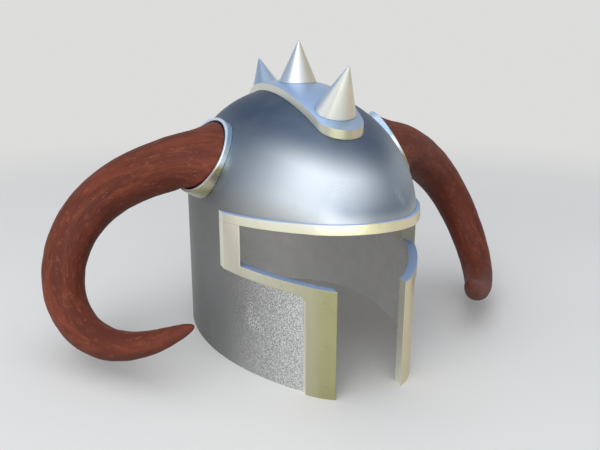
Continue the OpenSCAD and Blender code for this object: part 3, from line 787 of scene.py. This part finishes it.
def tongue_lay(piece, direction, reach):
    """Notes how far each point is from the edge and along, and gives the tongue's length."""
    rows = [tongue_arc(direction, reach, step) for step in range(TONGUE_ROWS + 1)]
    runs = [0]
    for (before, _, _), (after, _, _) in zip(rows, rows[1:]):
        runs.append(runs[-1] + (after - before).length / INSET)
    lay = []
    for v in piece.data.vertices:
        step = min(range(TONGUE_ROWS + 1), key=lambda k: (rows[k][0] - v.co).length_squared)
        spot, axes, out = rows[step]
        off = abs((v.co - spot).dot(axes.col[0]))
        lay.append(((tongue_width(out, step) / 2 - off) / INSET, runs[step]))
    note_lay(piece, lay)
    return runs[-1]


# %% The eight tongues
TONGUES = {"brow": (-68.9, 0.1524), "temple": (-37.6, 0.1161),
           "side": (16.3, 0.1052), "nape": (63.1, 0.1192)}
for place, (bearing, wall) in TONGUES.items():
    tongue = tongue_strip(math.radians(bearing), wall)
    length = tongue_lay(tongue, math.radians(bearing), wall)
    area = block_leather(tongue, away=0.0036)
    named(f"tongue_{place}_left", tongue_leather, "liner_leather", "liner_tongues")
    other = mirrored(tongue)
    named(f"tongue_{place}_right", tongue_leather, "liner_leather", "liner_tongues")
    print(place, "tongue: length", round(length, 4), "area", round(area, 5))
    compare(tongue, "liner_tongues")

# %% [markdown]
# ## The lace
# A thin cord of three strands draws the tongues together at the crown, in a closed ring. A torus
# with a bump pattern would look twisted only from afar. So three small circles side by side make
# its section, which grows round the ring and turns as it goes, so that the strands twist. The
# end meets the start, and the two are merged.

# %% Lace
LACE_RING, LACE_LEVEL, LACE_STEPS, LACE_THIRD_TURNS = 0.0256, 0.2338, 160, 14
LACE_HALF, STRAND = 0.0016, 0.0016 * 0.464


def lace_frame(step):
    turn = 2 * math.pi * step / LACE_STEPS
    out = Vector((math.cos(turn), math.sin(turn), 0))
    twist = Matrix.Rotation(2 * math.pi * LACE_THIRD_TURNS / 3 * step / LACE_STEPS, 3, "Z")
    spot = Vector((0, MID_Y, LACE_LEVEL)) + out * LACE_RING
    up = Vector((0, 0, 1))
    return spot, Matrix((out, up, out.cross(up))).transposed() @ twist


def twisted_ring():
    fresh()
    spot, now = lace_frame(0)
    for k in range(3):
        turn = 2 * math.pi * k / 3
        offset = Vector((math.cos(turn), math.sin(turn), 0)) * (LACE_HALF - STRAND)
        bpy.ops.mesh.primitive_circle_add(vertices=8, radius=STRAND, location=offset)
        if k == 0:
            bpy.ops.object.transform_apply(location=True, rotation=False, scale=False)
            bpy.ops.object.mode_set(mode="EDIT")
    bpy.ops.mesh.select_all(action="SELECT")
    turn_to(Matrix.Identity(3), now, (0, 0, 0))
    bpy.ops.transform.translate(value=spot)
    for step in range(1, LACE_STEPS + 1):
        new_spot, new_frame = lace_frame(step)
        grow(spot, new_spot, now, new_frame, 1.0)
        spot, now = new_spot, new_frame
    bpy.ops.mesh.select_all(action="SELECT")
    bpy.ops.mesh.remove_doubles(threshold=0.00005)
    bpy.ops.mesh.normals_make_consistent(inside=False)
    bpy.ops.object.mode_set(mode="OBJECT")
    bpy.ops.object.shade_smooth_by_angle(angle=math.radians(60))


def waxed_cord():
    f = Finish("waxed_cord")
    fibres = f.noise(900, 3, 0.6)
    colour = f.blend(fibres, (0.045, 0.022, 0.012), (0.11, 0.06, 0.034))
    return f.shader(Base_Color=colour, Roughness=0.6, Normal=f.bump(fibres, 0.0002, 0.5))


twisted_ring()
named("crown_lace", waxed_cord(), "lace_leather", "liner_lace")
compare(bpy.context.object, "liner_lace")

# %% [markdown]
# ## Camera, floor and light
# The camera stands where the photograph was taken from: ahead of the helmet, to the wearer's
# right and a little above, looking down. The floor is plain and pale, and soft lamps and a plain
# world light the helmet.

# %% Camera
VIEW_PITCH = math.radians(15.7)
VIEW_ROLL = math.radians(0.2)
VIEW_SPOT = Vector((-0.2446, -0.5833, 0.2896))
VIEW_PLAN = Vector((0.3806, 0.9247, 0))
look = (VIEW_PLAN * math.cos(VIEW_PITCH) - Vector((0, 0, math.sin(VIEW_PITCH)))).normalized()
right = look.cross(Vector((0, 0, 1))).normalized()
over = right.cross(look)
turned = Matrix((right, over, -look)).transposed()
bpy.ops.object.camera_add(location=VIEW_SPOT)
camera = bpy.context.object
roll = Matrix.Rotation(VIEW_ROLL, 4, "Z")
camera.matrix_world = Matrix.Translation(VIEW_SPOT) @ turned.to_4x4() @ roll
camera.data.sensor_width = 36
camera.data.lens = 39
camera.data.clip_start = 0.01
bpy.context.scene.camera = camera

# %% [markdown]
# ## A seamless floor
# A photographer's cove has no edge where the floor meets the wall. This one goes all round: a
# filled circle is the floor, and its rim is extruded outwards and upwards in a wide curve. Near
# the helmet the paint takes the light and the shadows. Further off it shows one plain pale tone
# to the camera and to reflections.

# %% Floor
COVE_STEPS = 12


def floor_paint():
    f = Finish("floor_paint")
    colour = f.blend(f.noise(3, 2), (0.79, 0.79, 0.78), (0.81, 0.81, 0.80))
    paint = f.add("BsdfPrincipled", Base_Color=colour, Roughness=0.9)
    away = f.add("VectorMath", {"operation": "LENGTH"}, out=1, Vector=f.place())
    camera_ray, glossy_ray, through_ray = (
        f.add("LightPath", out=f"Is {kind} Ray") for kind in ("Camera", "Glossy", "Transmission"))
    plain = (camera_ray + glossy_ray + through_ray) * away.step(0.55, 1.5)
    glow = f.add("Emission", Color=(0.72, 0.72, 0.71), Strength=1.0)
    f.add("OutputMaterial", Surface=f.add("MixShader", slot0=plain, slot1=paint, slot2=glow))
    return f.material


def cove(radius, height):
    fresh()
    bpy.ops.mesh.primitive_circle_add(vertices=96, radius=radius, fill_type="NGON")
    bpy.ops.object.mode_set(mode="EDIT")
    bpy.ops.mesh.select_mode(type="EDGE")
    bpy.ops.mesh.select_all(action="DESELECT")
    bpy.ops.mesh.select_non_manifold()
    for step in range(1, COVE_STEPS + 1):
        last, turn = (math.radians(90) * k / COVE_STEPS for k in (step - 1, step))
        rise = height * (math.cos(last) - math.cos(turn))
        wide = radius + height * math.sin(turn)
        bpy.ops.mesh.extrude_edges_move(TRANSFORM_OT_translate={"value": (0, 0, rise)})
        grown = wide / (radius + height * math.sin(last))
        bpy.ops.transform.resize(value=(grown, grown, 1), center_override=(0, 0, 0))
    bpy.ops.object.mode_set(mode="OBJECT")
    bpy.ops.object.shade_smooth_by_angle(angle=math.radians(30))
    return bpy.context.object


floor = cove(3.0, 1.6)
floor.name = "floor"
floor.data.materials.append(floor_paint())

# %% [markdown]
# ## Lamps and world
# A broad softbox over the wearer's right shoulder lights the dome's wide highlight, which is also
# painted into the steel's colour. One overhead puts soft shadows below the horns, and a low one in
# front opens the face. Spot lamps would leave hard edges on the steel. A plain world fills in the
# rest.

# %% Softboxes and world
def softbox(name, spot, aim, width, height, power):
    data = bpy.data.lights.new(name, "AREA")
    data.shape, data.size, data.size_y = "RECTANGLE", width, height
    data.energy = power
    lamp = bpy.data.objects.new(name, data)
    bpy.context.scene.collection.objects.link(lamp)
    lamp.location = spot
    lamp.rotation_euler = (Vector(aim) - Vector(spot)).to_track_quat("-Z", "Y").to_euler()
    print(name, "stands at", spot)


softbox("shoulder", (-1.15, -0.75, 1.45), (0, -0.05, 0.15), 1.6, 1.3, 7)
softbox("overhead", (-0.1, 0.1, 1.9), (0, 0, 0), 1.8, 1.8, 6)
softbox("front", (-0.85, -1.55, 0.45), (0.05, 0, 0.12), 2.2, 1.5, 22)

world = bpy.data.worlds.new("studio")
world.use_nodes = True
world.node_tree.nodes["Background"].inputs["Color"].default_value = (0.92, 0.95, 1.0, 1)
world.node_tree.nodes["Background"].inputs["Strength"].default_value = 0.60
bpy.context.scene.world = world
bpy.context.scene.view_settings.view_transform = "Standard"
